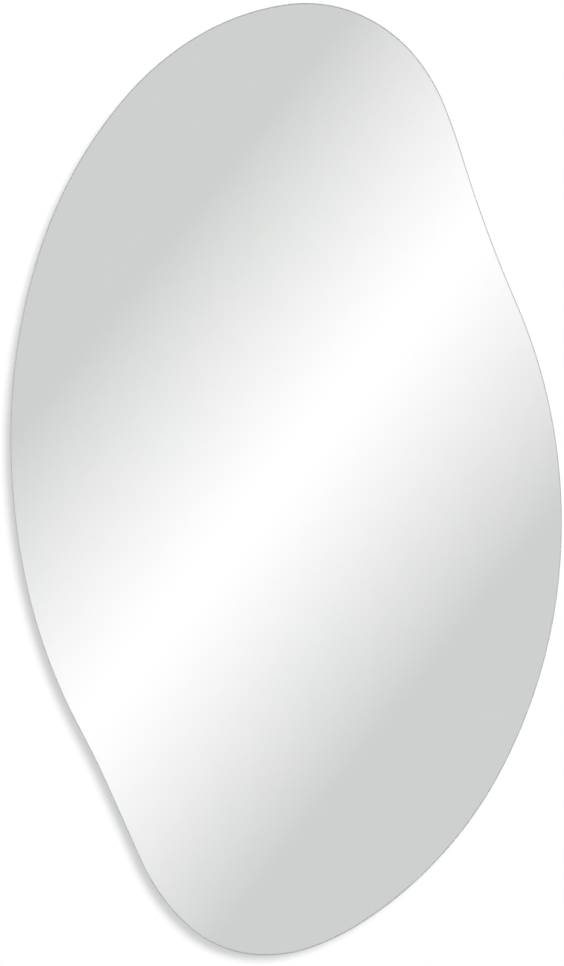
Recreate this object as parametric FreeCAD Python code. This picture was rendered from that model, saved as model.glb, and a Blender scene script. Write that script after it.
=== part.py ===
import FreeCAD
import Part
import math
import os

# Frameless wall mirror with an irregular, pebble-like outline.
# A silvered glass pane is taped and bonded to a smaller fibreboard panel, which hangs from two
# swinging D-rings and stands off the wall on four rubber bumpers.
#
# Frame, in millimetres: X to the viewer's right, Z up, +Y into the wall.
# The origin is on the wall, behind the middle of the mirror's width and height.
# Left and right are as seen from the front.

# ---- Outline -------------------------------------------------------------------------------
mirror_width = 550.0
mirror_height = 950.0

# Stations of the drawn outline, clockwise from the top as seen from the front: (x, z, heading).
# The heading is the direction of travel, in degrees below the horizontal.
# Two tangent arcs join each station to the next. The drawing is then stretched to the mirror's size.
outline_stations = (
    (1.0, 474.0, -8.0),  # crown, just left of the top
    (131.0, 420.0, 51.5),  # crown, right shoulder
    (175.5, 324.0, 73.0),  # end of the crown
    (230.0, 176.0, 66.5),  # hollow of the right waist
    (272.5, -97.0, 95.5),  # fullest part of the right flank
    (76.5, -442.0, 147.0),  # foot, right side
    (-32.5, -474.5, 185.5),  # foot, just left of the bottom
    (-145.0, -380.0, 246.0),  # end of the foot
    (-207.0, -247.0, 242.0),  # hollow of the left waist
    (-274.5, 58.0, 271.5),  # fullest part of the left flank
    (-158.0, 384.0, 311.0),  # upper left brow
)

# ---- Glass and its back coats --------------------------------------------------------------
glass_thickness = 5.0
glass_arris = 0.5  # ground and polished chamfer round both faces
coat_thickness = 0.1  # silver with its protective paint
coat_edge_margin = 0.1  # from the rear arris to the silver
film_thickness = 0.2  # safety film that holds the pieces if the glass breaks
film_edge_margin = 1.0  # from the edge of the silver to the film

# ---- Backing board -------------------------------------------------------------------------
board_thickness = 9.0
board_inset = 35.0  # how far the board's edge lies inside the edge of the glass
board_chamfer = 1.5

# ---- Foam tape and silicone between film and board ------------------------------------------
tape_thickness = 1.2
tape_width = 25.0
tape_count = 6
tape_side_margin = 50.0  # from the board's widest point to the middle of the outer strips
tape_end_margin = 25.0
bead_width = 9.0
bead_end_margin = 45.0

# ---- Rubber bumpers ------------------------------------------------------------------------
bumper_base_radius = 9.0
bumper_wall_radius = 8.0
bumper_rim_radius = 1.0
bumper_end_distance = 130.0  # from the top or the bottom of the mirror
bumper_side_margin = 35.0  # from the side of the board

# ---- D-ring hangers ------------------------------------------------------------------------
hanger_spacing = 200.0
hanger_drop = 235.0  # from the top of the mirror to the ring's hinge
strap_width = 15.0
strap_thickness = 1.2
strap_corner_radius = 4.0
strap_end_margin = 7.5  # from the lower screw to the strap's end
barrel_seam = 0.3  # gap between the barrel's lip and the strap
ring_wire_radius = 1.5
ring_clearance = 0.05  # between the ring's bar and the barrel
ring_side_gap = 3.5  # between the strap's edge and the ring's leg
ring_corner_radius = 3.5
ring_leg_straight = 2.0  # straight wire between a corner and the bow
ring_head_gap = 1.75  # between the folded ring and the upper screw's head
ring_butt_gap = 0.4  # where the ends of the wire meet, inside the barrel
wall_clearance = 0.5  # between the hangers and the wall

# ---- Screws --------------------------------------------------------------------------------
screw_head_radius = 3.25
screw_head_height = 2.0
screw_head_rim = 0.7  # straight side of the pan head
screw_shoulder_radius = 2.0  # where the head's dome is shoulder_height above the rim
screw_shoulder_height = 1.0
screw_thread_radius = 1.75
screw_core_radius = 1.2
screw_thread_pitch = 1.3
screw_tip_length = 2.2
screw_pitch = 19.0  # between the two screws of a hanger
screw_tip_cover = 0.7  # board left in front of the screw's point
screw_hole_clearance = 0.35  # between the thread and the hole in the strap
pilot_clearance = 0.05  # between the thread and its hole in the board
pilot_end_clearance = 0.2
recess_length = 3.8
recess_width = 0.9
recess_depth = 1.3
recess_floor_length = 2.1
recess_floor_width = 0.5

# ---- Places that follow from the sizes -----------------------------------------------------
barrel_bore_radius = ring_wire_radius + ring_clearance
barrel_radius = barrel_bore_radius + strap_thickness
bumper_height = 2.0 * barrel_radius + wall_clearance

board_back = -bumper_height
board_front = board_back - board_thickness
film_back = board_front - tape_thickness
coat_back = film_back - film_thickness
glass_back = coat_back - coat_thickness
glass_front = glass_back - glass_thickness

coat_inset = glass_arris + coat_edge_margin
film_inset = coat_inset + film_edge_margin

ring_axis_depth = board_back + barrel_radius
ring_axis_height = mirror_height / 2.0 - hanger_drop
ring_bow_radius = strap_width / 2.0 + ring_side_gap + ring_wire_radius
ring_reach = ring_bow_radius + ring_corner_radius + ring_leg_straight
upper_screw_drop = ring_reach - ring_wire_radius - ring_head_gap - screw_head_radius
lower_screw_drop = upper_screw_drop + screw_pitch
strap_length = lower_screw_drop + strap_end_margin
screw_depth = board_thickness - screw_tip_cover
screw_length = strap_thickness + screw_depth

Vector = FreeCAD.Vector
along_x = Vector(1.0, 0.0, 0.0)
into_wall = Vector(0.0, 1.0, 0.0)
middle = Vector(0.0, 0.0, 0.0)
same_place = 1e-4  # lengths that differ by less are equal
cut_overshoot = 0.1  # how far a cut runs past the face that it opens


# ---- Outline geometry ----------------------------------------------------------------------
def inward(way):
    """Unit vector to the right of the direction of travel, which is into the mirror."""
    return Vector(way.z, 0.0, -way.x)


def biarc_joint(start, start_way, end, end_way):
    """Where two arcs of equal tangent length meet, and the direction there."""
    chord = end - start
    both = start_way + end_way
    a = 2.0 * (1.0 - start_way.dot(end_way))
    b = 2.0 * chord.dot(both)
    reach = (math.sqrt(b * b + 4.0 * a * chord.dot(chord)) - b) / (2.0 * a)
    near = start + start_way * reach
    far = end - end_way * reach
    return (near + far) * 0.5, (far - near).normalize()


def arc_from(start, way, end):
    """The arc that leaves start along way and reaches end: start, middle, end, centre, radius.
    The radius is negative where the outline is hollow."""
    chord = end - start
    side = inward(way)
    radius = chord.dot(chord) / (2.0 * chord.dot(side))
    centre = start + side * radius
    middle_way = ((start + end) * 0.5 - centre).normalize()
    return start, centre + middle_way * abs(radius), end, centre, radius


def tangent_arcs(stops):
    """Two tangent arcs from each stop to the next, round to the first. A stop is a place and a way."""
    arcs = []
    for (start, start_way), (end, end_way) in zip(stops, stops[1:] + stops[:1]):
        joint, joint_way = biarc_joint(start, start_way, end, end_way)
        arcs.append(arc_from(start, start_way, joint))
        arcs.append(arc_from(joint, joint_way, end))
    return arcs


def arcs_face(arcs, inset, depth):
    """The area inside arcs, with its edge moved inwards by inset, as a face at y = depth."""
    edges = []
    for start, middle, end, centre, radius in arcs:
        share = inset / radius
        points = [p + (centre - p) * share + into_wall * depth for p in (start, middle, end)]
        edges.append(Part.Arc(*points).toShape())
    return Part.Face(Part.Wire(edges))


def drawn_stops():
    """The stations as places and directions of travel, at the size they are drawn."""
    stops = []
    for x, z, heading in outline_stations:
        angle = math.radians(heading)
        stops.append((Vector(x, 0.0, z), Vector(math.cos(angle), 0.0, -math.sin(angle))))
    return stops


def outline_face(inset, depth):
    """The mirror's outline moved inwards by inset, as a face at y = depth."""
    drawn = drawn_stops()
    box = arcs_face(tangent_arcs(drawn), 0.0, 0.0).BoundBox

    def stretched(vector):
        wide = vector.x * mirror_width / box.XLength
        high = vector.z * mirror_height / box.ZLength
        return Vector(wide, 0.0, high)

    stops = [(stretched(place - box.Center), stretched(way).normalize()) for place, way in drawn]
    return arcs_face(tangent_arcs(stops), inset, depth)


def height_span(face, x):
    """Lowest and highest point of face at x."""
    box = face.BoundBox
    line = Part.makeLine(Vector(x, box.YMin, box.ZMin), Vector(x, box.YMin, box.ZMax))
    cut = face.common(line).BoundBox
    return cut.ZMin, cut.ZMax


def width_span(face, z):
    """Leftmost and rightmost point of face at z."""
    box = face.BoundBox
    line = Part.makeLine(Vector(box.XMin, box.YMin, z), Vector(box.XMax, box.YMin, z))
    cut = face.common(line).BoundBox
    return cut.XMin, cut.XMax


def rim_edges(solid, depth):
    """Edges of solid that lie in the plane y = depth."""
    return [
        e for e in solid.Edges
        if abs(e.BoundBox.YMin - depth) < same_place and abs(e.BoundBox.YMax - depth) < same_place
    ]


def eased_plate(sections):
    """Plate whose edge runs straight through sections, each an inset and its depth, front to back."""
    return Part.makeLoft([outline_face(inset, depth).OuterWire for inset, depth in sections], True, True)


# ---- Glass, coats and film -----------------------------------------------------------------
def glass_pane():
    """Clear pane with a polished edge and an arris round each face."""
    return eased_plate([
        (glass_arris, glass_front),
        (0.0, glass_front + glass_arris),
        (0.0, glass_back - glass_arris),
        (glass_arris, glass_back),
    ])


def silver_coat():
    return outline_face(coat_inset, glass_back).extrude(into_wall * coat_thickness)


def safety_film():
    return outline_face(film_inset, coat_back).extrude(into_wall * film_thickness)


# ---- Backing board -------------------------------------------------------------------------
def hanger_centres():
    return {"left": -hanger_spacing / 2.0, "right": hanger_spacing / 2.0}


def screw_heights():
    return {
        "upper": ring_axis_height - upper_screw_drop,
        "lower": ring_axis_height - lower_screw_drop,
    }


def backing_board():
    """Fibreboard panel with an eased rear edge and blind pilot holes for the screws."""
    board = eased_plate([
        (board_inset, board_front),
        (board_inset, board_back - board_chamfer),
        (board_inset + board_chamfer, board_back),
    ])
    depth = screw_depth + pilot_end_clearance
    radius = screw_thread_radius + pilot_clearance
    for x in hanger_centres().values():
        for z in screw_heights().values():
            mouth = Vector(x, board_back, z)
            board = board.cut(Part.makeCylinder(radius, depth, mouth, -into_wall))
    return board


# ---- Tape and silicone ---------------------------------------------------------------------
def tape_places():
    """Middles of the tape strips, evenly across the board."""
    box = outline_face(board_inset, board_front).BoundBox
    step = (box.XLength - 2.0 * tape_side_margin) / (tape_count - 1)
    return [box.XMin + tape_side_margin + i * step for i in range(tape_count)]


def strip_span(x, width, end_margin):
    """Lowest and highest point of an upright strip that stays inside the board."""
    board = outline_face(board_inset, board_front)
    left = height_span(board, x - width / 2.0)
    right = height_span(board, x + width / 2.0)
    return max(left[0], right[0]) + end_margin, min(left[1], right[1]) - end_margin


def bead_places():
    """Middles of the silicone beads, one between each two strips."""
    places = tape_places()
    return [(a + b) / 2.0 for a, b in zip(places, places[1:])]


def foam_tape(x):
    """Double-sided foam strip between the film and the board."""
    low, high = strip_span(x, tape_width, tape_end_margin)
    corner = Vector(x - tape_width / 2.0, film_back, low)
    return Part.makeBox(tape_width, tape_thickness, high - low, corner)


def silicone_bead(x):
    """Pressed bead: flat on the film and the board, round at its sides and ends."""
    low, high = strip_span(x, bead_width, bead_end_margin)
    radius = bead_width / 2.0
    bottom = Vector(x, film_back, low + radius)
    top = Vector(x, film_back, high - radius)
    side = along_x * radius
    drop = Vector(0.0, 0.0, radius)
    edges = [
        Part.makeLine(bottom - side, top - side),
        Part.Arc(top - side, top + drop, top + side).toShape(),
        Part.makeLine(top + side, bottom + side),
        Part.Arc(bottom + side, bottom - drop, bottom - side).toShape(),
    ]
    return Part.Face(Part.Wire(edges)).extrude(into_wall * tape_thickness)


# ---- Bumpers -------------------------------------------------------------------------------
def bumper_places():
    """Middle of each bumper, near the four corners of the board."""
    glass = outline_face(0.0, board_back).BoundBox
    board = outline_face(board_inset, board_back)
    rows = {"upper": glass.ZMax - bumper_end_distance, "lower": glass.ZMin + bumper_end_distance}
    places = {}
    for row, z in rows.items():
        left, right = width_span(board, z)
        places[row + "_left"] = Vector(left + bumper_side_margin, board_back, z)
        places[row + "_right"] = Vector(right - bumper_side_margin, board_back, z)
    return places


def bumper(place):
    """Rubber foot with a rounded rim on its wall side."""
    foot = Part.makeCone(bumper_base_radius, bumper_wall_radius, bumper_height, place, into_wall)
    return foot.makeFillet(bumper_rim_radius, rim_edges(foot, place.y + bumper_height))


# ---- Hangers: drawn with the ring's hinge on the X axis, the board towards -Y ---------------
def hanger_strap():
    """Steel strip rolled round the ring's bar, with two screw holes."""
    lip = math.pi - math.acos((barrel_bore_radius - barrel_seam) / barrel_radius)
    halfway = (math.pi - lip) / 2.0

    def roll(radius, angle):
        return Vector(0.0, math.cos(angle) * radius, math.sin(angle) * radius)

    outer = [roll(barrel_radius, a) for a in (math.pi, halfway, -lip)]
    inner = [roll(barrel_bore_radius, a) for a in (-lip, halfway, math.pi)]
    end = Vector(0.0, 0.0, -strap_length)
    edges = [
        Part.Arc(*outer).toShape(),
        Part.makeLine(outer[2], inner[0]),
        Part.Arc(*inner).toShape(),
        Part.makeLine(inner[2], inner[2] + end),
        Part.makeLine(inner[2] + end, outer[0] + end),
        Part.makeLine(outer[0] + end, outer[0]),
    ]
    strip = Part.Face(Part.Wire(edges)).extrude(along_x * strap_width)
    strip.translate(along_x * (-strap_width / 2.0))
    corners = [
        e for e in strip.Edges
        if abs(e.BoundBox.ZMax + strap_length) < same_place and e.BoundBox.XLength < same_place
    ]
    strip = strip.makeFillet(strap_corner_radius, corners)
    hole_radius = screw_thread_radius + screw_hole_clearance
    for drop in (upper_screw_drop, lower_screw_drop):
        start = Vector(0.0, -2.0 * barrel_radius, -drop)
        strip = strip.cut(Part.makeCylinder(hole_radius, 2.0 * barrel_radius, start, into_wall))
    return strip


def hanger_ring():
    """D of round wire. Its bar turns in the barrel, where the wire's two ends meet."""
    leg = ring_reach - ring_bow_radius
    bar = ring_bow_radius - ring_corner_radius
    bend = ring_corner_radius * math.sin(math.radians(45.0))

    def at(x, z):
        return Vector(x, 0.0, z)

    def side(way):
        turn = at(way * (bar + bend), ring_corner_radius - bend)
        return [at(way * bar, 0.0), turn, at(way * ring_bow_radius, ring_corner_radius)]

    right = side(1.0)
    left = side(-1.0)
    edges = [
        Part.makeLine(at(ring_butt_gap / 2.0, 0.0), right[0]),
        Part.Arc(*right).toShape(),
        Part.makeLine(right[2], at(ring_bow_radius, leg)),
        Part.Arc(at(ring_bow_radius, leg), at(0.0, ring_reach), at(-ring_bow_radius, leg)).toShape(),
        Part.makeLine(at(-ring_bow_radius, leg), left[2]),
        Part.Arc(*reversed(left)).toShape(),
        Part.makeLine(left[0], at(-ring_butt_gap / 2.0, 0.0)),
    ]
    section = Part.Wire(Part.makeCircle(ring_wire_radius, at(ring_butt_gap / 2.0, 0.0), along_x))
    return Part.Wire(edges).makePipeShell([section], True, False)


def hinge_place(x):
    return Vector(x, ring_axis_depth, ring_axis_height)


# ---- Screws: drawn pointing to -Y, with the underside of the head at the origin -------------
def thread_profile():
    """Half section of the threaded shank, from the head down to the point."""
    profile = [(screw_core_radius, 0.0)]
    depth = screw_thread_pitch / 2.0
    while depth + screw_thread_pitch < screw_length - screw_tip_length:
        profile.append((screw_core_radius, -depth))
        profile.append((screw_thread_radius, -depth - screw_thread_pitch / 2.0))
        depth += screw_thread_pitch
    profile.append((screw_core_radius, -depth))
    profile.append((screw_core_radius, screw_tip_length - screw_length))
    profile.append((0.0, -screw_length))
    return [Vector(r, y, 0.0) for r, y in profile]


def recess_arm(turn):
    """One slot of the cross recess, narrower at its floor."""
    mouth = (recess_length, recess_width, screw_head_height + cut_overshoot)
    floor = (recess_floor_length, recess_floor_width, screw_head_height - recess_depth)
    outlines = []
    for length, width, y in (mouth, floor):
        x = length / 2.0
        z = width / 2.0
        corners = [Vector(x, y, z), Vector(-x, y, z), Vector(-x, y, -z), Vector(x, y, -z)]
        outlines.append(Part.makePolygon(corners + corners[:1]))
    arm = Part.makeLoft(outlines, True, True)
    arm.rotate(middle, into_wall, turn)
    return arm


def screw():
    """Pan-head screw with a cross recess. Its thread is drawn as rings of the thread's depth."""
    crown = Vector(0.0, screw_head_height, 0.0)
    rim_top = Vector(screw_head_radius, screw_head_rim, 0.0)
    rim_foot = Vector(screw_head_radius, 0.0, 0.0)
    dome = Vector(screw_shoulder_radius, screw_head_rim + screw_shoulder_height, 0.0)
    shank = thread_profile()
    edges = [Part.Arc(crown, dome, rim_top).toShape(), Part.makeLine(rim_top, rim_foot)]
    edges += [Part.makeLine(a, b) for a, b in zip([rim_foot] + shank, shank)]
    edges.append(Part.makeLine(shank[-1], crown))
    body = Part.Face(Part.Wire(edges)).revolve(middle, into_wall, 360.0)
    return body.cut(recess_arm(0.0)).cut(recess_arm(90.0))


def moved(shape, place):
    copy = shape.copy()
    copy.translate(place)
    return copy


# ---- Assembly ------------------------------------------------------------------------------
def sub_parts():
    """Every sub-part in its place, by name. Strips and beads are numbered from the left."""
    nodes = {
        "glass_pane": glass_pane(),
        "silver_coat": silver_coat(),
        "safety_film": safety_film(),
        "backing_board": backing_board(),
    }
    for number, x in enumerate(tape_places(), 1):
        nodes["foam_tape_" + str(number)] = foam_tape(x)
    for number, x in enumerate(bead_places(), 1):
        nodes["silicone_bead_" + str(number)] = silicone_bead(x)
    for corner, place in bumper_places().items():
        nodes[corner + "_bumper"] = bumper(place)
    strap, ring, one_screw = hanger_strap(), hanger_ring(), screw()
    for side, x in hanger_centres().items():
        nodes[side + "_hanger_strap"] = moved(strap, hinge_place(x))
        nodes[side + "_hanger_ring"] = moved(ring, hinge_place(x))
        for row, z in screw_heights().items():
            seat = Vector(x, board_back + strap_thickness, z)
            nodes[side + "_" + row + "_screw"] = moved(one_screw, seat)
    return nodes


os.makedirs("parts", exist_ok=True)
for name, shape in sub_parts().items():
    shape.exportStep("parts/" + name + ".step")
    print(name, "solids", len(shape.Solids), "valid", shape.isValid(), "mm3", round(shape.Volume, 1))
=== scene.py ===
import bpy
import math
import numpy as np
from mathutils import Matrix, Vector


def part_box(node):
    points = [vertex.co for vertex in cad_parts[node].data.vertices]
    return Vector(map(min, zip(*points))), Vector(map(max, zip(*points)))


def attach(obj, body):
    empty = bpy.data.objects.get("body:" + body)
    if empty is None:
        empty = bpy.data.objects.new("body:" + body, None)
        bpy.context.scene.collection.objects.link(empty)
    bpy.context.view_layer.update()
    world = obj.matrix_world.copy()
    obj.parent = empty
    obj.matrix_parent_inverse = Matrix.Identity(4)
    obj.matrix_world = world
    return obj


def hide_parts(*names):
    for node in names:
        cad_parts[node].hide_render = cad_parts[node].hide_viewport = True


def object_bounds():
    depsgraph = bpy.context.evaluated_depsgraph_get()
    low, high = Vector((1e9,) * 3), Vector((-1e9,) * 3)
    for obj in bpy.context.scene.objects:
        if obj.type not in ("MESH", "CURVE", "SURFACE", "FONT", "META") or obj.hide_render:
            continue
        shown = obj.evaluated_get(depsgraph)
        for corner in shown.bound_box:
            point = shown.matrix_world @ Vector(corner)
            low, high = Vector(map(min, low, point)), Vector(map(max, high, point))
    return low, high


# Frameless wall mirror with an irregular outline: silvered glass on a fibreboard panel, hung by two
# D-rings. Metres, Z up. The mirror faces -Y and the wall is the plane y = 0.

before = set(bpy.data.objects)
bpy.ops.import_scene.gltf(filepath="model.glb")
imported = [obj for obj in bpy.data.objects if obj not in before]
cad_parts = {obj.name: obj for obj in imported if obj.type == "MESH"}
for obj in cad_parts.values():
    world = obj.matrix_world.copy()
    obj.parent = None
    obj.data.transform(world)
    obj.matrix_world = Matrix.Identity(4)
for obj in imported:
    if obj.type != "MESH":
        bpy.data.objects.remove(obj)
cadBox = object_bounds()
mm = 0.001
print("frame loaded:", len(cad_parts), "nodes")


def linearColour(hexCode):
    # sRGB to linear, each channel: ((c + 0.055) / 1.055) ^ 2.4, or c / 12.92 in the toe
    parts = [int(hexCode[i:i + 2], 16) / 255.0 for i in (1, 3, 5)]
    return tuple(c / 12.92 if c <= 0.04045 else ((c + 0.055) / 1.055) ** 2.4 for c in parts) + (1.0,)


def addNode(tree, kind, settings=None, links=None, stops=()):
    # a setting is an attribute by its name, or an input's value by its index or name. Stops are the
    # (position, hex colour) pairs of a colour ramp.
    node = tree.nodes.new(kind)
    for key, value in (settings or {}).items():
        if isinstance(key, str) and hasattr(node, key):
            setattr(node, key, value)
        else:
            node.inputs[key].default_value = value
    for key, socket in (links or {}).items():
        tree.links.new(socket, node.inputs[key])
    if stops:
        elements = node.color_ramp.elements
        while len(elements) < len(stops):
            elements.new(0.5)
        for element, (position, hexCode) in zip(elements, stops):
            element.position = position
            element.color = linearColour(hexCode)
    return node


def newMaterial(name):
    material = bpy.data.materials.new(name)
    material.use_nodes = True
    material.node_tree.nodes.clear()
    return material, material.node_tree


def smoothLoop(points, count):
    # periodic cubic spline by chord length, taken at equal steps. The second derivatives m solve
    # h0 m0 + 2 (h0 + h1) m1 + h1 m2 = 6 (slope1 - slope0)
    closed = np.vstack([points, points[:1]])
    step = np.linalg.norm(np.diff(closed, axis=0), axis=1)
    before = np.roll(step, 1)
    slope = np.diff(closed, axis=0) / step[:, None]
    size = len(points)
    i = np.arange(size)
    system = np.zeros((size, size))
    system[i, i] = 2 * (before + step)
    system[i, (i - 1) % size] = before
    system[i, (i + 1) % size] = step
    bend = np.linalg.solve(system, 6 * (slope - np.roll(slope, 1, axis=0)))
    run = np.concatenate([[0], np.cumsum(step)])
    t = np.linspace(0, run[-1], count, endpoint=False)
    k = np.clip(np.searchsorted(run, t, side="right") - 1, 0, size - 1)
    h = step[k][:, None]
    a = (run[k + 1] - t)[:, None]
    b = (t - run[k])[:, None]
    bendAhead = bend[(k + 1) % size]
    ends = (closed[k] / h - bend[k] * h / 6) * a + (closed[k + 1] / h - bendAhead * h / 6) * b
    return (bend[k] * a ** 3 + bendAhead * b ** 3) / (6 * h) + ends


def rimLoop(nodeName, count):
    # widest rim of a CAD plate as a smooth loop of (x, z), counterclockwise from the front,
    # with outward normals (tangent z, -tangent x). The rim's points are those off both faces.
    edgeShare, leastStep = 0.45, 0.2 * mm
    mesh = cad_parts[nodeName].data
    places = np.empty(len(mesh.vertices) * 3)
    mesh.vertices.foreach_get("co", places)
    places = places.reshape(-1, 3)
    low, high = places[:, 1].min(), places[:, 1].max()
    onEdge = np.abs(places[:, 1] - (low + high) / 2) < edgeShare * (high - low)
    rim = np.unique(np.round(places[onEdge][:, [0, 2]], 6), axis=0)
    rim = rim[np.argsort(np.arctan2(rim[:, 1], rim[:, 0]))]
    apart = np.linalg.norm(rim - np.roll(rim, 1, axis=0), axis=1) > leastStep
    loop = smoothLoop(rim[apart], count)
    tangent = np.roll(loop, -1, axis=0) - np.roll(loop, 1, axis=0)
    tangent /= np.linalg.norm(tangent, axis=1)[:, None]
    return loop, np.stack([tangent[:, 1], -tangent[:, 0]], axis=1)


def softCorners(corners, radii, steps=3, guard=1.4):
    # each inner corner C of an open profile becomes the curve (1-t)^2 A + 2t(1-t) C + t^2 B, with A
    # and B at its radius before and after it. A point at guard times the radius on each side keeps
    # the flats flat when they are shaded smooth.
    corners = np.array(corners, float)
    t = np.linspace(0, 1, steps + 1)[:, None]
    line = [corners[:1]]
    radii = np.broadcast_to(radii, len(corners) - 2)
    for before, corner, after, radius in zip(corners, corners[1:], corners[2:], radii):
        back = (before - corner) / np.linalg.norm(before - corner) * radius
        ahead = (after - corner) / np.linalg.norm(after - corner) * radius
        curve = (1 - t) ** 2 * back + t ** 2 * ahead
        line.append(corner + np.vstack([guard * back, curve, guard * ahead]))
    return np.vstack(line + [corners[-1:]])


def skinGrid(name, grid, materials, bands=None, sharpAngle=32):
    # grid[i, j] is point j of ring i. Quads join the rings and close in j, and a middle point closes
    # each end. Turned outwards where the volume, the sum of a . (b x c) / 6, comes out negative.
    # UV is (length round the widest ring, length along the first column), in metres.
    rows, columns = grid.shape[:2]
    ids = np.arange(rows * columns).reshape(rows, columns)
    ahead = np.roll(ids, -1, axis=1)
    quads = np.stack([ids[:-1], ahead[:-1], ahead[1:], ids[1:]], axis=-1).reshape(-1, 4)
    poles = rows * columns + np.arange(2)
    startCap = np.stack([np.full(columns, poles[0]), ahead[0], ids[0]], axis=-1)
    endCap = np.stack([np.full(columns, poles[1]), ids[-1], ahead[-1]], axis=-1)
    caps = np.vstack([startCap, endCap])
    places = np.vstack([grid.reshape(-1, 3), grid[0].mean(axis=0), grid[-1].mean(axis=0)])

    around = np.linalg.norm(np.roll(grid, -1, axis=1) - grid, axis=2)
    u = np.concatenate([[0], np.cumsum(around[np.argmax(around.sum(axis=1))])])
    v = np.concatenate([[0], np.cumsum(np.linalg.norm(np.diff(grid[:, 0], axis=0), axis=1))])
    uu, vv = np.meshgrid(u, v)
    quadUv = [uu[:-1, :-1], vv[:-1, :-1], uu[:-1, 1:], vv[:-1, 1:],
              uu[1:, 1:], vv[1:, 1:], uu[1:, :-1], vv[1:, :-1]]
    capUv = np.stack([np.tile(u[:-1], 2), np.repeat(v[[0, -1]], columns)], axis=-1)
    uvs = np.concatenate([np.stack(quadUv, axis=-1).ravel(), np.repeat(capUv, 3, axis=0).ravel()])

    triangles = (places - places.mean(axis=0))[np.vstack([quads[:, :3], quads[:, [0, 2, 3]], caps])]
    volume = np.einsum("ij,ij->", triangles[:, 0], np.cross(triangles[:, 1], triangles[:, 2])) / 6

    bands = np.zeros(rows - 1, int) if bands is None else np.asarray(bands)
    index = np.concatenate([np.repeat(bands, columns), np.repeat(bands[[0, -1]], columns)])
    mesh = bpy.data.meshes.new(name)
    mesh.from_pydata(places.tolist(), [], quads.tolist() + caps.tolist())
    mesh.uv_layers.new(name="UVMap").data.foreach_set("uv", uvs.astype(np.float32))
    for material in materials:
        mesh.materials.append(material)
    mesh.polygons.foreach_set("material_index", index.astype(np.int32))
    if volume < 0:
        mesh.flip_normals()
    mesh.shade_smooth()
    mesh.set_sharp_from_angle(angle=math.radians(sharpAngle))
    piece = bpy.data.objects.new(name, mesh)
    bpy.context.scene.collection.objects.link(piece)
    return piece


def plateSkin(name, rim, corners, softness, materials, edgeInset, flatInset=-1.0):
    # profile of (inset, depth) corners carried round the rim: place = rim - outward normal * inset.
    # Two rings more on each face, at the inset wide and then drawn in to the share inner, keep its
    # triangles even. Materials are the front face, the edge up to edgeInset, the rear face, and the
    # outermost part of the edge up to flatInset.
    wide, inner = 45 * mm, 0.45
    loop, normals = rim
    profile = softCorners(corners, softness)
    front = [(wide, profile[0, 1], inner), (wide, profile[0, 1], 1.0)]
    rear = [(wide, profile[-1, 1], 1.0), (wide, profile[-1, 1], inner)]
    rings = np.array(front + [(inset, depth, 1.0) for inset, depth in profile] + rear)
    flat = (loop[None] - normals[None] * rings[:, 0, None, None]) * rings[:, 2, None, None]
    depths = np.broadcast_to(rings[:, 1, None], flat.shape[:2])
    grid = np.stack([flat[..., 0], depths, flat[..., 1]], axis=-1)
    middle = (rings[1:] + rings[:-1]) / 2
    isEdge = middle[:, 0] < edgeInset
    isRear = middle[:, 1] > (profile[0, 1] + profile[-1, 1]) / 2
    bands = np.where(isEdge, 1, np.where(isRear, 2, 0))
    return skinGrid(name, grid, materials, np.where(middle[:, 0] < flatInset, 3, bands))


def turnedSkin(name, centre, profile, columns, material):
    # profile of (radius, depth) turned about the Y axis through centre (x, z)
    angle = np.linspace(0, 2 * math.pi, columns, endpoint=False)
    radius, depth = profile[:, 0, None], profile[:, 1, None]
    across, up = radius * np.cos(angle), radius * np.sin(angle)
    grid = np.stack([centre[0] + across, depth + 0 * angle, centre[1] + up], axis=-1)
    return skinGrid(name, grid, [material])


def standIn(piece, node, body="mirror"):
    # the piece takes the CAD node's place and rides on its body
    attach(piece, body)
    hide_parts(node)


# materials, each named for what the real one is. A bump's distance is the real height of a full
# swing of its pattern.

def clearFloatGlass():
    # drawn flat on molten tin: a faint wave, 200 mm long, in its reflections, and a green-grey tint
    # that only shows along the edge, where light runs far through it
    material, tree = newMaterial("clearFloatGlass")
    place = addNode(tree, "ShaderNodeTexCoord").outputs["Object"]
    wave = addNode(tree, "ShaderNodeTexNoise", {"Scale": 5.0, "Detail": 0.0}, {"Vector": place})
    relief = addNode(tree, "ShaderNodeBump", {"Distance": 0.03 * mm}, {"Height": wave.outputs[0]})
    glass = addNode(tree, "ShaderNodeBsdfPrincipled", {
        "Base Color": linearColour("#FFFFFF"), "Roughness": 0.0, "IOR": 1.52,
        "Transmission Weight": 1.0}, {"Normal": relief.outputs[0]})
    tint = addNode(tree, "ShaderNodeVolumeAbsorption", {
        "Color": linearColour(pane["tintColour"]), "Density": pane["tint"]})
    addNode(tree, "ShaderNodeOutputMaterial", None, {
        "Surface": glass.outputs[0], "Volume": tint.outputs[0]})
    return material


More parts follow.
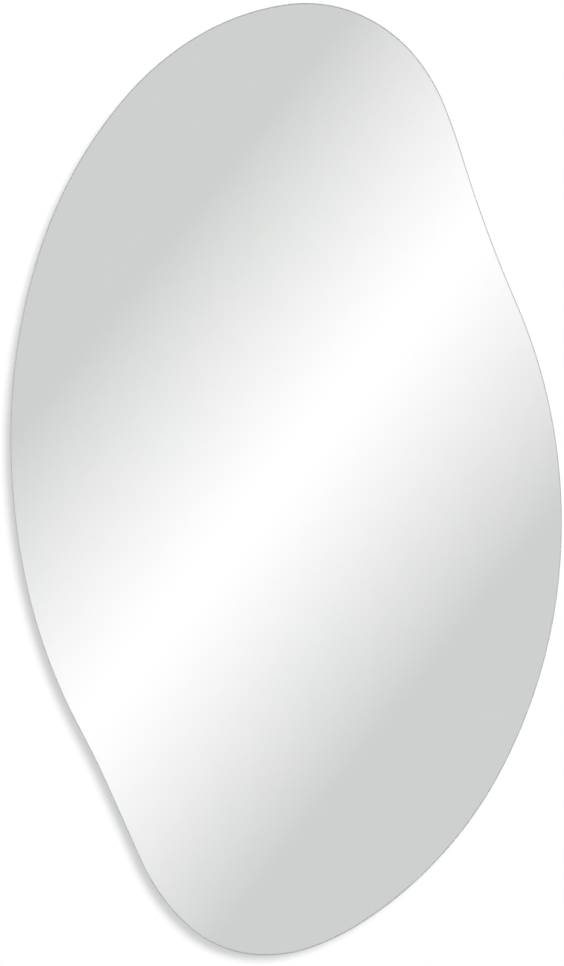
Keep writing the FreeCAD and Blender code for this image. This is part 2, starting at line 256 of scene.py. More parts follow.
def cutGlass(name, tones, clear, roughness, lineDepth):
    # cut edge, ground on diamond wheels: part clear and part clouded by the grind, with fine lines
    # along the edge about 0.2 mm apart
    material, tree = newMaterial(name)
    linesPerMetre = (12, 1 / (0.2 * mm), 1)  # along the edge and across it
    lengths = addNode(tree, "ShaderNodeUVMap").outputs[0]
    drawn = addNode(tree, "ShaderNodeVectorMath", {"operation": "MULTIPLY", 1: linesPerMetre}, {
        0: lengths})
    lines = addNode(tree, "ShaderNodeTexNoise", {"Scale": 1.0, "Detail": 2.0}, {
        "Vector": drawn.outputs[0]})
    tone = addNode(tree, "ShaderNodeValToRGB", None, {"Fac": lines.outputs[0]},
                   [(0.35, tones[0]), (0.65, tones[1])])
    relief = addNode(tree, "ShaderNodeBump", {"Distance": lineDepth}, {"Height": lines.outputs[0]})
    glass = addNode(tree, "ShaderNodeBsdfPrincipled", {
        "Roughness": roughness, "IOR": 1.52, "Transmission Weight": clear}, {
        "Base Color": tone.outputs[0], "Normal": relief.outputs[0]})
    tint = addNode(tree, "ShaderNodeVolumeAbsorption", {
        "Color": linearColour(pane["tintColour"]), "Density": pane["tint"]})
    addNode(tree, "ShaderNodeOutputMaterial", None, {
        "Surface": glass.outputs[0], "Volume": tint.outputs[0]})
    return material


def silvering():
    # chemically deposited silver behind the glass: a perfect mirror, with hardly any change of tone
    material, tree = newMaterial("silvering")
    place = addNode(tree, "ShaderNodeTexCoord").outputs["Object"]
    cloud = addNode(tree, "ShaderNodeTexNoise", {"Scale": 6.0, "Detail": 2.0}, {"Vector": place})
    tone = addNode(tree, "ShaderNodeValToRGB", None, {"Fac": cloud.outputs[0]},
                   [(0.35, "#FBFCFB"), (0.65, "#FCFCFC")])
    metal = addNode(tree, "ShaderNodeBsdfPrincipled", {"Metallic": 1.0, "Roughness": 0.0}, {
        "Base Color": tone.outputs[0]})
    addNode(tree, "ShaderNodeOutputMaterial", None, {"Surface": metal.outputs[0]})
    return material


def mirrorBackPaint():
    # curtain-coated baked paint over the silver: dull grey with a fine orange peel, 1.5 mm across,
    # and faint clouds 70 mm wide
    material, tree = newMaterial("mirrorBackPaint")
    place = addNode(tree, "ShaderNodeTexCoord").outputs["Object"]
    peel = addNode(tree, "ShaderNodeTexNoise", {"Scale": 1 / (1.5 * mm), "Detail": 1.0}, {
        "Vector": place})
    cloud = addNode(tree, "ShaderNodeTexNoise", {"Scale": 14.0, "Detail": 3.0}, {"Vector": place})
    tone = addNode(tree, "ShaderNodeValToRGB", None, {"Fac": cloud.outputs[0]},
                   [(0.3, "#737978"), (0.7, "#828887")])
    relief = addNode(tree, "ShaderNodeBump", {"Distance": 0.02 * mm}, {"Height": peel.outputs[0]})
    paint = addNode(tree, "ShaderNodeBsdfPrincipled", {"Roughness": 0.5}, {
        "Base Color": tone.outputs[0], "Normal": relief.outputs[0]})
    addNode(tree, "ShaderNodeOutputMaterial", None, {"Surface": paint.outputs[0]})
    return material


def embossedSafetyFilm():
    # polyethylene film pressed on hot: pale grey, with a fine diamond emboss 2 mm apart and soft
    # ripples, 45 mm long, where it was rolled down
    material, tree = newMaterial("embossedSafetyFilm")
    place = addNode(tree, "ShaderNodeTexCoord").outputs["Object"]
    waves = []
    for turn in (45, -45):
        turned = addNode(tree, "ShaderNodeMapping", {"Rotation": (0, math.radians(turn), 0)}, {
            "Vector": place})
        # a wave of scale s repeats every 2 pi / (20 s) metres
        wave = addNode(tree, "ShaderNodeTexWave", {
            "bands_direction": "X", "Scale": math.pi / (10 * 2 * mm), "Distortion": 0.0}, {
            "Vector": turned.outputs[0]})
        waves.append(wave.outputs["Fac"])
    diamonds = addNode(tree, "ShaderNodeMath", {"operation": "MAXIMUM"}, {0: waves[0], 1: waves[1]})
    ripple = addNode(tree, "ShaderNodeTexNoise", {"Scale": 22.0, "Detail": 2.0}, {"Vector": place})
    emboss = addNode(tree, "ShaderNodeBump", {"Distance": 0.05 * mm}, {"Height": diamonds.outputs[0]})
    relief = addNode(tree, "ShaderNodeBump", {"Distance": 0.25 * mm}, {
        "Height": ripple.outputs[0], "Normal": emboss.outputs[0]})
    tone = addNode(tree, "ShaderNodeMix", {
        "data_type": "RGBA", 6: linearColour("#A4AAAB"), 7: linearColour("#B9BEBF")}, {
        0: diamonds.outputs[0]})
    film = addNode(tree, "ShaderNodeBsdfPrincipled", {"Roughness": 0.38, "IOR": 1.5}, {
        "Base Color": tone.outputs[2], "Normal": relief.outputs[0]})
    addNode(tree, "ShaderNodeOutputMaterial", None, {"Surface": film.outputs[0]})
    return material


def sandedFibreboard():
    # hot-pressed wood fibre, sanded: warm brown, with fibres 0.35 mm thick and a few millimetres
    # long lying three ways, and faint clouds 70 mm wide
    material, tree = newMaterial("sandedFibreboard")
    cloudShare = 0.3  # of one layer of fibres
    place = addNode(tree, "ShaderNodeTexCoord").outputs["Object"]
    fibres = []
    for turn in (20, 80, -40):
        turned = addNode(tree, "ShaderNodeMapping", {
            "vector_type": "TEXTURE", "Rotation": (0, math.radians(turn), 0),
            "Scale": (0.35 * mm, 5 * mm, 2.2 * mm)}, {"Vector": place})
        fibres.append(addNode(tree, "ShaderNodeTexNoise", {
            "Scale": 1.0, "Detail": 1.0, "Distortion": 0.8}, {"Vector": turned.outputs[0]}).outputs[0])
    two = addNode(tree, "ShaderNodeMath", {"operation": "ADD"}, {0: fibres[0], 1: fibres[1]})
    felt = addNode(tree, "ShaderNodeMath", {"operation": "ADD"}, {0: two.outputs[0], 1: fibres[2]})
    cloud = addNode(tree, "ShaderNodeTexNoise", {
        "Scale": 14.0, "Detail": 6.0, "Roughness": 0.65}, {"Vector": place})
    total = addNode(tree, "ShaderNodeMath", {"operation": "MULTIPLY_ADD", 1: cloudShare}, {
        0: cloud.outputs[0], 2: felt.outputs[0]})
    mean = addNode(tree, "ShaderNodeMath", {"operation": "DIVIDE", 1: len(fibres) + cloudShare}, {
        0: total.outputs[0]})
    tone = addNode(tree, "ShaderNodeValToRGB", None, {"Fac": mean.outputs[0]},
                   [(0.36, "#97754F"), (0.5, "#AE8A62"), (0.64, "#C1A07A")])
    relief = addNode(tree, "ShaderNodeBump", {"Distance": 0.012 * mm}, {"Height": felt.outputs[0]})
    panel = addNode(tree, "ShaderNodeBsdfPrincipled", {"Roughness": 0.8}, {
        "Base Color": tone.outputs[0], "Normal": relief.outputs[0]})
    addNode(tree, "ShaderNodeOutputMaterial", None, {"Surface": panel.outputs[0]})
    return material


def routedFibreboardEdge():
    # the cut edge, darker and woolly, with cutter marks 1.5 mm apart across it
    material, tree = newMaterial("routedFibreboardEdge")
    cutterShare = 0.12  # of the wool
    lengths = addNode(tree, "ShaderNodeUVMap").outputs[0]
    place = addNode(tree, "ShaderNodeTexCoord").outputs["Object"]
    wool = addNode(tree, "ShaderNodeTexNoise", {
        "Scale": 1 / (0.7 * mm), "Detail": 4.0, "Roughness": 0.75}, {"Vector": place})
    cutter = addNode(tree, "ShaderNodeTexWave", {
        "bands_direction": "X", "Scale": math.pi / (10 * 1.5 * mm), "Distortion": 0.6}, {
        "Vector": lengths})
    mixed = addNode(tree, "ShaderNodeMath", {"operation": "MULTIPLY_ADD", 1: cutterShare}, {
        0: cutter.outputs["Fac"], 2: wool.outputs[0]})
    tone = addNode(tree, "ShaderNodeValToRGB", None, {"Fac": mixed.outputs[0]},
                   [(0.35, "#765738"), (0.55, "#957350"), (0.75, "#AC8A64")])
    relief = addNode(tree, "ShaderNodeBump", {"Distance": 0.12 * mm}, {"Height": mixed.outputs[0]})
    edge = addNode(tree, "ShaderNodeBsdfPrincipled", {"Roughness": 0.9}, {
        "Base Color": tone.outputs[0], "Normal": relief.outputs[0]})
    addNode(tree, "ShaderNodeOutputMaterial", None, {"Surface": edge.outputs[0]})
    return material


def zincPlatedSteel(name, linesPerMetre, roughness):
    # bright zinc over steel: cool grey, with the drawn or rolled lines of the steel along the piece,
    # a faint straw tone of the passivation, and a gloss that clouds every 5 mm
    material, tree = newMaterial(name)
    glossSpread = 0.06
    lengths = addNode(tree, "ShaderNodeUVMap").outputs[0]
    place = addNode(tree, "ShaderNodeTexCoord").outputs["Object"]
    drawn = addNode(tree, "ShaderNodeVectorMath", {"operation": "MULTIPLY", 1: linesPerMetre}, {
        0: lengths})
    lines = addNode(tree, "ShaderNodeTexNoise", {"Scale": 1.0, "Detail": 3.0}, {
        "Vector": drawn.outputs[0]})
    cloud = addNode(tree, "ShaderNodeTexNoise", {"Scale": 1 / (5 * mm), "Detail": 3.0}, {
        "Vector": place})
    half = addNode(tree, "ShaderNodeMath", {"operation": "MULTIPLY", 1: 0.5}, {0: cloud.outputs[0]})
    mixed = addNode(tree, "ShaderNodeMath", {"operation": "MULTIPLY_ADD", 1: 0.5}, {
        0: lines.outputs[0], 2: half.outputs[0]})
    tone = addNode(tree, "ShaderNodeValToRGB", None, {"Fac": mixed.outputs[0]},
                   [(0.36, "#B5B9BD"), (0.5, "#C6C9CC"), (0.64, "#D2D1CA")])
    rough = addNode(tree, "ShaderNodeMapRange", {
        "From Min": 0.3, "From Max": 0.7, "To Min": roughness - glossSpread,
        "To Max": roughness + glossSpread}, {"Value": mixed.outputs[0]})
    relief = addNode(tree, "ShaderNodeBump", {"Distance": 0.015 * mm}, {"Height": lines.outputs[0]})
    metal = addNode(tree, "ShaderNodeBsdfPrincipled", {"Metallic": 1.0}, {
        "Base Color": tone.outputs[0], "Roughness": rough.outputs[0], "Normal": relief.outputs[0]})
    addNode(tree, "ShaderNodeOutputMaterial", None, {"Surface": metal.outputs[0]})
    return material


def mouldedRubber():
    # black rubber from a spark-eroded mould: dull, with a grain of 0.4 mm and pale dust in spots of
    # 3 mm
    material, tree = newMaterial("mouldedRubber")
    place = addNode(tree, "ShaderNodeTexCoord").outputs["Object"]
    grain = addNode(tree, "ShaderNodeTexNoise", {"Scale": 1 / (0.4 * mm), "Detail": 2.0}, {
        "Vector": place})
    dust = addNode(tree, "ShaderNodeTexNoise", {"Scale": 1 / (3 * mm), "Detail": 4.0}, {
        "Vector": place})
    tone = addNode(tree, "ShaderNodeValToRGB", None, {"Fac": dust.outputs[0]},
                   [(0.4, "#1B1B1D"), (0.62, "#232325"), (0.8, "#3A3937")])
    relief = addNode(tree, "ShaderNodeBump", {"Distance": 0.05 * mm}, {"Height": grain.outputs[0]})
    rubber = addNode(tree, "ShaderNodeBsdfPrincipled", {"Roughness": 0.72}, {
        "Base Color": tone.outputs[0], "Normal": relief.outputs[0]})
    addNode(tree, "ShaderNodeOutputMaterial", None, {"Surface": rubber.outputs[0]})
    return material


def closedCellFoam():
    # polyethylene foam, skived: dark grey with open half-cells of 0.5 mm, with painted shade in them
    material, tree = newMaterial("closedCellFoam")
    place = addNode(tree, "ShaderNodeTexCoord").outputs["Object"]
    cells = addNode(tree, "ShaderNodeTexVoronoi", {"Scale": 1 / (0.5 * mm)}, {"Vector": place})
    # painted shade: the tone darkens towards each cell's middle, where the bump sinks deepest
    tone = addNode(tree, "ShaderNodeValToRGB", None, {"Fac": cells.outputs["Distance"]},
                   [(0.1, "#18191A"), (0.7, "#37393B")])
    relief = addNode(tree, "ShaderNodeBump", {"Distance": 0.1 * mm}, {
        "Height": cells.outputs["Distance"]})
    foam = addNode(tree, "ShaderNodeBsdfPrincipled", {"Roughness": 0.85}, {
        "Base Color": tone.outputs[0], "Normal": relief.outputs[0]})
    addNode(tree, "ShaderNodeOutputMaterial", None, {"Surface": foam.outputs[0]})
    return material


def neutralSilicone():
    # cured mirror silicone: milky, soft gloss, with lumps 4 mm wide where it was pressed flat
    material, tree = newMaterial("neutralSilicone")
    place = addNode(tree, "ShaderNodeTexCoord").outputs["Object"]
    lumps = addNode(tree, "ShaderNodeTexNoise", {"Scale": 1 / (4 * mm), "Detail": 2.0}, {
        "Vector": place})
    tone = addNode(tree, "ShaderNodeValToRGB", None, {"Fac": lumps.outputs[0]},
                   [(0.3, "#C8C8C1"), (0.7, "#DAD9D2")])
    relief = addNode(tree, "ShaderNodeBump", {"Distance": 0.2 * mm}, {"Height": lumps.outputs[0]})
    silicone = addNode(tree, "ShaderNodeBsdfPrincipled", {
        "Roughness": 0.35, "Subsurface Weight": 0.3, "Subsurface Scale": 1 * mm}, {
        "Base Color": tone.outputs[0], "Normal": relief.outputs[0]})
    addNode(tree, "ShaderNodeOutputMaterial", None, {"Surface": silicone.outputs[0]})
    return material


def stageWhite():
    # matt white wall and floor. It is there for rays that look at it from its front; all other rays
    # pass, so the back of the object stays lit and can be looked at through the wall.
    material, tree = newMaterial("stageWhite")
    path = addNode(tree, "ShaderNodeLightPath").outputs
    side = addNode(tree, "ShaderNodeNewGeometry").outputs["Backfacing"]
    looks = path["Is Camera Ray"]
    for ray in ("Is Glossy Ray", "Is Transmission Ray"):
        either = addNode(tree, "ShaderNodeMath", {"operation": "MAXIMUM"}, {0: looks, 1: path[ray]})
        looks = either.outputs[0]
    front = addNode(tree, "ShaderNodeMath", {"operation": "SUBTRACT", 0: 1.0}, {1: side})
    shown = addNode(tree, "ShaderNodeMath", {"operation": "MULTIPLY"}, {0: looks, 1: front.outputs[0]})
    matt = addNode(tree, "ShaderNodeBsdfDiffuse", {"Color": (stage["albedo"],) * 3 + (1,)})
    glow = addNode(tree, "ShaderNodeEmission", {
        "Color": linearColour("#FFFFFF"), "Strength": stage["glow"]})
    lit = addNode(tree, "ShaderNodeAddShader", None, {0: matt.outputs[0], 1: glow.outputs[0]})
    through = addNode(tree, "ShaderNodeBsdfTransparent")
    seen = addNode(tree, "ShaderNodeMixShader", None, {
        0: shown.outputs[0], 1: through.outputs[0], 2: lit.outputs[0]})
    addNode(tree, "ShaderNodeOutputMaterial", None, {"Surface": seen.outputs[0]})
    material.cycles.emission_sampling = "NONE"
    return material


# glass pane, silver and film

pane = {
    "rimPoints": 720,
    "arris": 0.5 * mm,
    "softness": 0.08 * mm,  # polishing rounds the corners of the arris by this much
    "polishedInset": 0.04 * mm,  # the flat of the edge, inside the arrises' soft corners
    "tint": 6.0,  # absorption per metre of path, times one less the tint colour
    "tintColour": "#8EE1CB",
    "silverInset": 0.6 * mm,
    "silverSoftness": 0.01 * mm,
    "paintMargin": 0.1 * mm,  # of the silver's front, what lies this near its edge is paint
    "filmInset": 1.6 * mm,
    "filmSoftness": 0.05 * mm,
    "skinGap": 0.02 * mm,  # keeps a coat's skin off the face that it lies on
}
faceStart = 6 * mm  # inset at which a plate's profile starts and ends, on its two faces

rim = rimLoop("glass_pane", pane["rimPoints"])
low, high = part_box("glass_pane")
arris = pane["arris"]
paneCorners = [(faceStart, low.y), (arris, low.y), (0, low.y + arris),
               (0, high.y - arris), (arris, high.y), (faceStart, high.y)]
floatGlass = clearFloatGlass()
groundArris = cutGlass("groundGlassArris", ("#E2E6E4", "#ECEFED"), 0.9, 0.5, 0.006 * mm)
polishedEdge = cutGlass("polishedGlassEdge", ("#7FA496", "#93B5A8"), 0.45, 0.1, 0.003 * mm)
glassPiece = plateSkin("glassPane", rim, paneCorners, pane["softness"],
                       [floatGlass, groundArris, floatGlass, polishedEdge],
                       arris + pane["softness"], pane["polishedInset"])
standIn(glassPiece, "glass_pane")

low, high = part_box("silver_coat")
inset, depth = pane["silverInset"], low.y + pane["skinGap"]
silverCorners = [(faceStart, depth), (inset, depth), (inset, high.y), (faceStart, high.y)]
backPaint = mirrorBackPaint()
silverPiece = plateSkin("silverCoat", rim, silverCorners, pane["silverSoftness"],
                        [silvering(), backPaint, backPaint], inset + pane["paintMargin"])
standIn(silverPiece, "silver_coat")

low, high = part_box("safety_film")
inset, depth = pane["filmInset"], low.y + pane["skinGap"]
filmCorners = [(faceStart, depth), (inset, depth), (inset, high.y), (faceStart, high.y)]
filmPiece = plateSkin("safetyFilm", rim, filmCorners, pane["filmSoftness"],
                      [embossedSafetyFilm()] * 3, inset)
standIn(filmPiece, "safety_film")
print("glass, silver and film made")


# backing board, tape and silicone

board = {
    "inset": 35.0 * mm,  # of its rim inside the rim of the glass
    "chamfer": 1.5 * mm,
    "softness": 0.35 * mm,  # sanding takes the corners off
}
boardRim = (rim[0] - rim[1] * board["inset"], rim[1])
low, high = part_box("backing_board")
chamfer = board["chamfer"]
boardCorners = [(faceStart, low.y), (0, low.y), (0, high.y - chamfer), (chamfer, high.y),
                (faceStart, high.y)]
sanded = sandedFibreboard()
boardPiece = plateSkin("backingBoard", boardRim, boardCorners, board["softness"],
                       [sanded, routedFibreboardEdge(), sanded], chamfer + board["softness"] / 2)
standIn(boardPiece, "backing_board")

foam, silicone = closedCellFoam(), neutralSilicone()
for nodeName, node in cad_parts.items():
    if nodeName.startswith("foam_tape"):
        node.data.materials[0] = foam
    if nodeName.startswith("silicone_bead"):
        node.data.materials[0] = silicone
print("board made, tape and silicone finished")


# rubber bumpers

bumper = {
    "wallRadius": 8.0 * mm,
    "baseRound": 0.2 * mm,
    "rimRound": 1.0 * mm,
    "roundSteps": 8,
    "hub": 0.02 * mm,  # radius at which the two faces start
    "columns": 96,
}
rubber = mouldedRubber()
for row, side in (("upper", "left"), ("upper", "right"), ("lower", "left"), ("lower", "right")):
    node = row + "_" + side + "_bumper"
    low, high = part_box(node)
    centre = ((low.x + high.x) / 2, (low.z + high.z) / 2)
    base = (high.x - low.x) / 2
    corners = [(bumper["hub"], low.y), (base, low.y), (bumper["wallRadius"], high.y),
               (bumper["hub"], high.y)]
    profile = softCorners(corners, [bumper["baseRound"], bumper["rimRound"]], bumper["roundSteps"])
    piece = turnedSkin(row + side.capitalize() + "Bumper", centre, profile, bumper["columns"], rubber)
    standIn(piece, node)
print("bumpers made")


# hangers: strap, ring and screws on each side

strap = {
    "thickness": 1.2 * mm,
    "endRound": 4.0 * mm,
    "edgeRound": 0.25 * mm,
    "seam": 0.3 * mm,
    "rollSteps": 60,
    "straightSteps": 8,
    "endSteps": 14,
    "columns": 24,
}
ring = {
    "cornerRadius": 3.5 * mm,
    "buttGap": 0.4 * mm,
    "cornerSteps": 13,
    "bowSteps": 49,
    "columns": 32,
}
screw = {
    "rimHeight": 0.7 * mm,
    "rimRound": 0.1 * mm,
    "headHeight": 2.0 * mm,
    "domePower": 2.6,
    "hubShare": 0.01,  # of its radius, at which the head's faces start
    "coreRadius": 1.2 * mm,
    "threadRadius": 1.75 * mm,
    "pitch": 1.3 * mm,
    "flankShare": 1 / 3,  # of the pitch, for each flank of the thread
    "tipLength": 2.2 * mm,
    "tipRadius": 0.01 * mm,
    "recessLength": 3.8 * mm,
    "recessWidth": 0.9 * mm,
    "recessDepth": 1.3 * mm,
    "recessRise": 0.5,  # share of its depth that the cross loses at its ends
    "recessSoftness": 0.12 * mm,
    "domeRings": 60,
    "shankRings": 90,
    "columns": 128,
    "sharpAngle": 40,
}


def roundedSection(width, thickness, radius, count):
    # rectangle with round corners: sign(cos a) (width / 2 - r) + r cos a, and alike the other way
    angle = (np.arange(count) + 0.5) * 2 * math.pi / count
    across = np.sign(np.cos(angle)) * (width / 2 - radius) + radius * np.cos(angle)
    through = np.sign(np.sin(angle)) * (thickness / 2 - radius) + radius * np.sin(angle)
    return across, through


def strapSkin(name, node, material):
    # rounded section carried along the strip's middle line: the roll, radius (cos a, sin a) from the
    # lip round to the board side, then straight down. The last endRound of it narrows as a circle.
    low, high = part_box(node)
    thickness, endRound = strap["thickness"], strap["endRound"]
    outer = (high.y - low.y) / 2
    middle = outer - thickness / 2
    axis = np.array([(low.y + high.y) / 2, high.z - outer])
    lip = math.pi - math.acos((outer - thickness - strap["seam"]) / outer)
    angle = np.linspace(-lip, math.pi, strap["rollSteps"])
    roll = np.stack([np.cos(angle), np.sin(angle)], axis=1)
    straight = axis[1] - low.z
    plain = np.linspace(0, straight - endRound, strap["straightSteps"])[1:]
    turn = np.linspace(0, math.pi / 2, strap["endSteps"])[1:]
    down = np.concatenate([plain, straight - endRound + endRound * np.sin(turn)])
    leg = np.stack([np.full(len(down), axis[0] - middle), axis[1] - down], axis=1)
    path = np.vstack([axis + roll * middle, leg])
    normal = np.vstack([roll, np.tile([-1.0, 0.0], (len(down), 1))])
    half = (high.x - low.x) / 2
    past = np.clip(down - (straight - endRound), 0, endRound)
    tapered = (half - endRound + np.sqrt(endRound ** 2 - past ** 2)) / half
    narrow = np.concatenate([np.ones(len(roll)), tapered])
    across, through = roundedSection(2 * half, thickness, strap["edgeRound"], strap["columns"])
    grid = np.empty((len(path), len(across), 3))
    grid[..., 0] = (low.x + high.x) / 2 + across * narrow[:, None]
    grid[..., 1:] = path[:, None] + normal[:, None] * through[None, :, None]
    return skinGrid(name, grid, [material])


def ringSkin(name, node, material):
    # circle carried along a D of straights and arcs in the XZ plane:
    # path + wire radius * (outward cos a, Y sin a)
    low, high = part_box(node)
    wire = (high.y - low.y) / 2
    bow = (high.x - low.x) / 2 - wire
    reach = high.z - low.z - 2 * wire
    corner = ring["cornerRadius"]
    quarter = np.linspace(-math.pi / 2, 0, ring["cornerSteps"])
    half = np.linspace(0, math.pi, ring["bowSteps"])
    right = np.stack([bow - corner * (1 - np.cos(quarter)), corner * (1 + np.sin(quarter))], axis=1)
    top = np.stack([bow * np.cos(half), reach - bow + bow * np.sin(half)], axis=1)
    left = right[::-1] * [-1, 1]
    ends = ring["buttGap"] / 2
    path = np.vstack([[[ends, 0]], right, top, left, [[-ends, 0]]])
    tangent = np.gradient(path, axis=0)
    tangent /= np.linalg.norm(tangent, axis=1)[:, None]
    outward = np.stack([tangent[:, 1], -tangent[:, 0]], axis=1)
    angle = np.linspace(0, 2 * math.pi, ring["columns"], endpoint=False)
    flat = path[:, None] + outward[:, None] * (wire * np.cos(angle))[None, :, None]
    grid = np.empty((len(path), len(angle), 3))
    grid[..., 0] = (low.x + high.x) / 2 + flat[..., 0]
    grid[..., 1] = (low.y + high.y) / 2 + wire * np.sin(angle)
    grid[..., 2] = low.z + wire + flat[..., 1]
    return skinGrid(name, grid, [material])


def screwSkin(name, node, material):
    # turned about Y: a domed head, less a cross of two bars, and a shank whose radius rises to the
    # thread where the phase depth / pitch - angle / 2 pi is near a half turn
    low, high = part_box(node)
    centre = ((low.x + high.x) / 2, (low.z + high.z) / 2)
    headRadius, coreRadius, rimRound = (high.x - low.x) / 2, screw["coreRadius"], screw["rimRound"]
    seat = high.y - screw["headHeight"]
    share = np.linspace(screw["hubShare"], 1, screw["domeRings"])
    dome = (screw["headHeight"] - screw["rimHeight"]) * (1 - share ** screw["domePower"])
    head = np.stack([share * headRadius, seat + screw["rimHeight"] + dome], axis=1)
    rimFoot = [[headRadius, seat + rimRound], [headRadius - rimRound, seat], [coreRadius, seat]]
    depths = np.linspace(0, seat - low.y, screw["shankRings"])[1:]
    tip = np.clip((seat - low.y - depths) / screw["tipLength"], 0, 1)
    shank = np.stack([coreRadius * tip + screw["tipRadius"], seat - depths], axis=1)
    profile = np.vstack([head, rimFoot, shank])
    angle = np.linspace(0, 2 * math.pi, screw["columns"], endpoint=False)
    radius = np.repeat(profile[:, :1], len(angle), axis=1)
    depth = np.repeat(profile[:, 1:], len(angle), axis=1)
    phase = depths[:, None] / screw["pitch"] - angle[None] / (2 * math.pi)
    crest = np.clip(1 - np.abs((phase % 1) - 0.5) / screw["flankShare"], 0, 1)
    radius[-len(depths):] += (screw["threadRadius"] - coreRadius) * crest * tip[:, None]
    across, up = radius * np.cos(angle), radius * np.sin(angle)
    soft = screw["recessSoftness"]
    cross = np.zeros_like(radius)
    for a, b in ((across, up), (up, across)):
        inLength = np.clip((screw["recessLength"] / 2 - np.abs(a)) / soft, 0, 1)
        inWidth = np.clip((screw["recessWidth"] / 2 - np.abs(b)) / soft, 0, 1)
        cross = np.maximum(cross, inLength * inWidth)
    onHead = np.arange(len(profile)) < len(head)
    slope = 1 - screw["recessRise"] * np.clip(radius / (screw["recessLength"] / 2), 0, 1)
    depth -= np.where(onHead[:, None], cross * slope * screw["recessDepth"], 0)
    grid = np.stack([centre[0] + across, depth, centre[1] + up], axis=-1)
    return skinGrid(name, grid, [material], sharpAngle=screw["sharpAngle"])


# lines per metre round the piece and along it
rolledStrip = zincPlatedSteel("zincPlatedStrip", (8000, 60, 1), 0.34)
drawnWire = zincPlatedSteel("zincPlatedWire", (2500, 40, 1), 0.24)
screwSteel = zincPlatedSteel("zincPlatedScrew", (900, 900, 1), 0.3)
for side in ("left", "right"):
    node = side + "_hanger_strap"
    standIn(strapSkin(side + "HangerStrap", node, rolledStrip), node)
    node = side + "_hanger_ring"
    standIn(ringSkin(side + "HangerRing", node, drawnWire), node, side + "_ring")
    for row in ("upper", "lower"):
        node = side + "_" + row + "_screw"
        standIn(screwSkin(side + row.capitalize() + "Screw", node, screwSteel), node)
print("hangers made")


# stage: white wall and floor

stage = {
    "albedo": 0.52,
    "glow": 0.445,  # with the lamps this shows the open wall white and the shadow light grey
    "wallGap": 0.5 * mm,
    "size": 12.0,
    "floorDrop": 1.05,  # floor below the mirror's middle
}
white = stageWhite()


def stagePlane(name, middle, across, up):
    # flat square: middle + s across + t up, with its front along across x up
    middle, across, up = (np.array(v, float) for v in (middle, across, up))
    places = [middle + s * across + t * up for s, t in ((-1, -1), (1, -1), (1, 1), (-1, 1))]
    mesh = bpy.data.meshes.new(name)
    mesh.from_pydata([p.tolist() for p in places], [], [(0, 1, 2, 3)])
    mesh.materials.append(white)
    plane = bpy.data.objects.new(name, mesh)
    bpy.context.scene.collection.objects.link(plane)
    return plane


reach = stage["size"] / 2
stagePlane("stageWall", (0, stage["wallGap"], reach - stage["floorDrop"]), (reach, 0, 0), (0, 0, reach))
floor = stagePlane("stageFloor", (0, 0, -stage["floorDrop"]), (reach, 0, 0), (0, reach, 0))
floor.visible_glossy = False  # the photographed mirror shows the studio, not the floor
floor.visible_transmission = False


# light

light = {
    "shadowShift": (-6.6 * mm, -7.3 * mm),  # on the wall, of the mirror's front edge
    "shadowBlur": 10.0 * mm,
    "keyLevel": 0.85,  # share of a white surface's brightness when square on
    "backDirection": (0.35, -1.0, -0.75),
    "backLevel": 0.8,
    "backSpread": 35.0,  # degrees
    "ambient": 0.3,
    "bandAngle": 38.5,  # degrees the band's crossing direction falls to the right
    "bandHalfWidth": 0.0588,  # radians from the white middle to the plain grey
    "bandRepeat": 0.16,  # half the angle between two bands
    "bandMiddle": -0.0007,
    "bandFall": 1.2,
    "bandLevel": 1.095,
    "bandWhite": "#FFFCFD",
    "bandGrey": "#CDCCCC",
}


def addSun(name, direction, level, spread, glossy):
    # distant lamp shining along direction, with a strength of pi times its level
    lamp = bpy.data.lights.new(name, "SUN")
    lamp.energy = level * math.pi
    lamp.angle = spread
    sun = bpy.data.objects.new(name, lamp)
    sun.rotation_mode = "QUATERNION"
    sun.rotation_quaternion = Vector(direction).to_track_quat("-Z", "Y")
    sun.visible_glossy = glossy
    sun.visible_transmission = False
    bpy.context.scene.collection.objects.link(sun)


standOff = -cadBox[0][1]
keyDirection = (light["shadowShift"][0], standOff, light["shadowShift"][1])
addSun("keyLight", keyDirection, light["keyLevel"], math.atan(light["shadowBlur"] / standOff), False)
addSun("backLight", light["backDirection"], light["backLevel"], math.radians(light["backSpread"]), True)


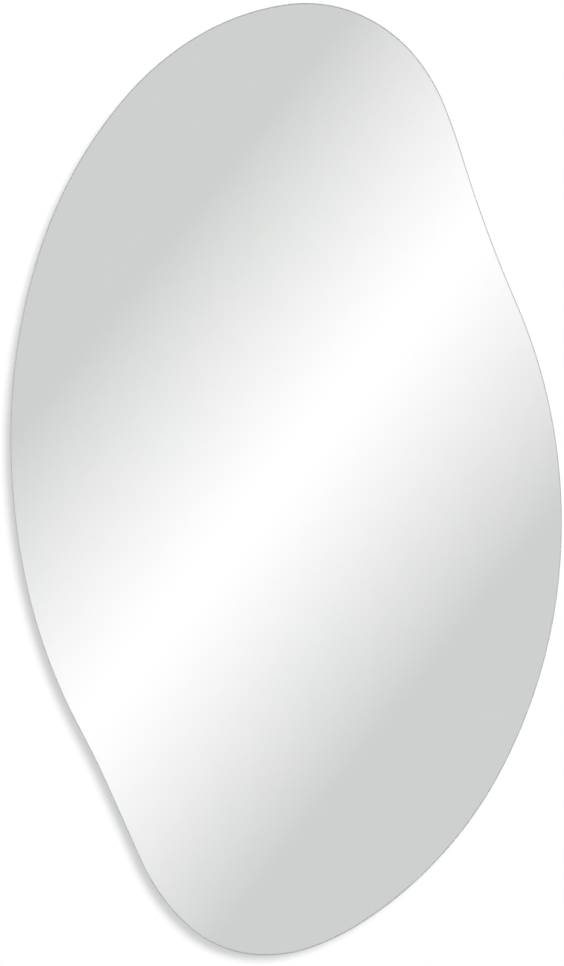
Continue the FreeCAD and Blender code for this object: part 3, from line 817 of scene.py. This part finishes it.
def studioWorld():
    # white behind everything for the camera, even light on matt surfaces, and for what mirrors and
    # glass look at: a white band that falls off to grey, t = (|s| / halfWidth) ^ fall,
    # s = azimuth cos(a) - elevation sin(a), repeated all round
    world = bpy.data.worlds.new("studio")
    bpy.context.scene.world = world
    world.use_nodes = True
    tree = world.node_tree
    tree.nodes.clear()
    slope = math.radians(light["bandAngle"])
    ray = addNode(tree, "ShaderNodeTexCoord").outputs["Generated"]
    x, y, z = addNode(tree, "ShaderNodeSeparateXYZ", None, {0: ray}).outputs
    forward = addNode(tree, "ShaderNodeMath", {"operation": "MULTIPLY", 1: -1.0}, {0: y})
    azimuth = addNode(tree, "ShaderNodeMath", {"operation": "ARCTAN2"}, {0: x, 1: forward.outputs[0]})
    elevation = addNode(tree, "ShaderNodeMath", {"operation": "ARCSINE"}, {0: z})
    sideways = addNode(tree, "ShaderNodeMath", {"operation": "MULTIPLY", 1: math.cos(slope)}, {
        0: azimuth.outputs[0]})
    upwards = addNode(tree, "ShaderNodeMath", {"operation": "MULTIPLY", 1: math.sin(slope)}, {
        0: elevation.outputs[0]})
    across = addNode(tree, "ShaderNodeMath", {"operation": "SUBTRACT"}, {
        0: sideways.outputs[0], 1: upwards.outputs[0]})
    centred = addNode(tree, "ShaderNodeMath", {"operation": "SUBTRACT", 1: light["bandMiddle"]}, {
        0: across.outputs[0]})
    fromBand = addNode(tree, "ShaderNodeMath", {"operation": "PINGPONG", 1: light["bandRepeat"]}, {
        0: centred.outputs[0]})
    share = addNode(tree, "ShaderNodeMath", {"operation": "DIVIDE", 1: light["bandHalfWidth"]}, {
        0: fromBand.outputs[0]})
    capped = addNode(tree, "ShaderNodeMath", {"operation": "MINIMUM", 1: 1.0}, {0: share.outputs[0]})
    fall = addNode(tree, "ShaderNodeMath", {"operation": "POWER", 1: light["bandFall"]}, {
        0: capped.outputs[0]})
    tone = addNode(tree, "ShaderNodeMix", {
        "data_type": "RGBA", 6: linearColour(light["bandWhite"]), 7: linearColour(light["bandGrey"])}, {
        0: fall.outputs[0]})

    path = addNode(tree, "ShaderNodeLightPath").outputs
    ambient = addNode(tree, "ShaderNodeBackground", {
        "Color": linearColour("#FFFFFF"), "Strength": light["ambient"]})
    mirrored = addNode(tree, "ShaderNodeBackground", {"Strength": light["bandLevel"]}, {
        "Color": tone.outputs[2]})
    plain = addNode(tree, "ShaderNodeBackground", {"Color": linearColour("#FFFFFF"), "Strength": 1.0})
    isMirrored = addNode(tree, "ShaderNodeMath", {"operation": "MAXIMUM"}, {
        0: path["Is Glossy Ray"], 1: path["Is Transmission Ray"]})
    unseen = addNode(tree, "ShaderNodeMixShader", None, {
        0: isMirrored.outputs[0], 1: ambient.outputs[0], 2: mirrored.outputs[0]})
    everyRay = addNode(tree, "ShaderNodeMixShader", None, {
        0: path["Is Camera Ray"], 1: unseen.outputs[0], 2: plain.outputs[0]})
    addNode(tree, "ShaderNodeOutputWorld", None, {"Surface": everyRay.outputs[0]})


studioWorld()
print("stage and light set")


# camera

photo = {
    "frameHeight": 966.0,  # pixels
    "mirrorHeight": 952.8,
    "mirrorMiddle": (4.1, 3.8),  # right of and above the middle of the picture, pixels
    "distance": 4.0,
    "sensorHeight": 24.0,
}
pixel = (cadBox[1][2] - cadBox[0][2]) / photo["mirrorHeight"]
right, above = (pixel * pixels for pixels in photo["mirrorMiddle"])
lens = bpy.data.cameras.new("camera")
lens.sensor_fit = "VERTICAL"
lens.sensor_height = photo["sensorHeight"]
lens.lens = photo["sensorHeight"] * photo["distance"] / (photo["frameHeight"] * pixel)
camera = bpy.data.objects.new("camera", lens)
camera.location = (-right, cadBox[0][1] - photo["distance"], -above)
camera.rotation_euler = (math.radians(90), 0, 0)
bpy.context.scene.collection.objects.link(camera)
bpy.context.scene.camera = camera

bpy.context.scene.view_settings.view_transform = "Standard"
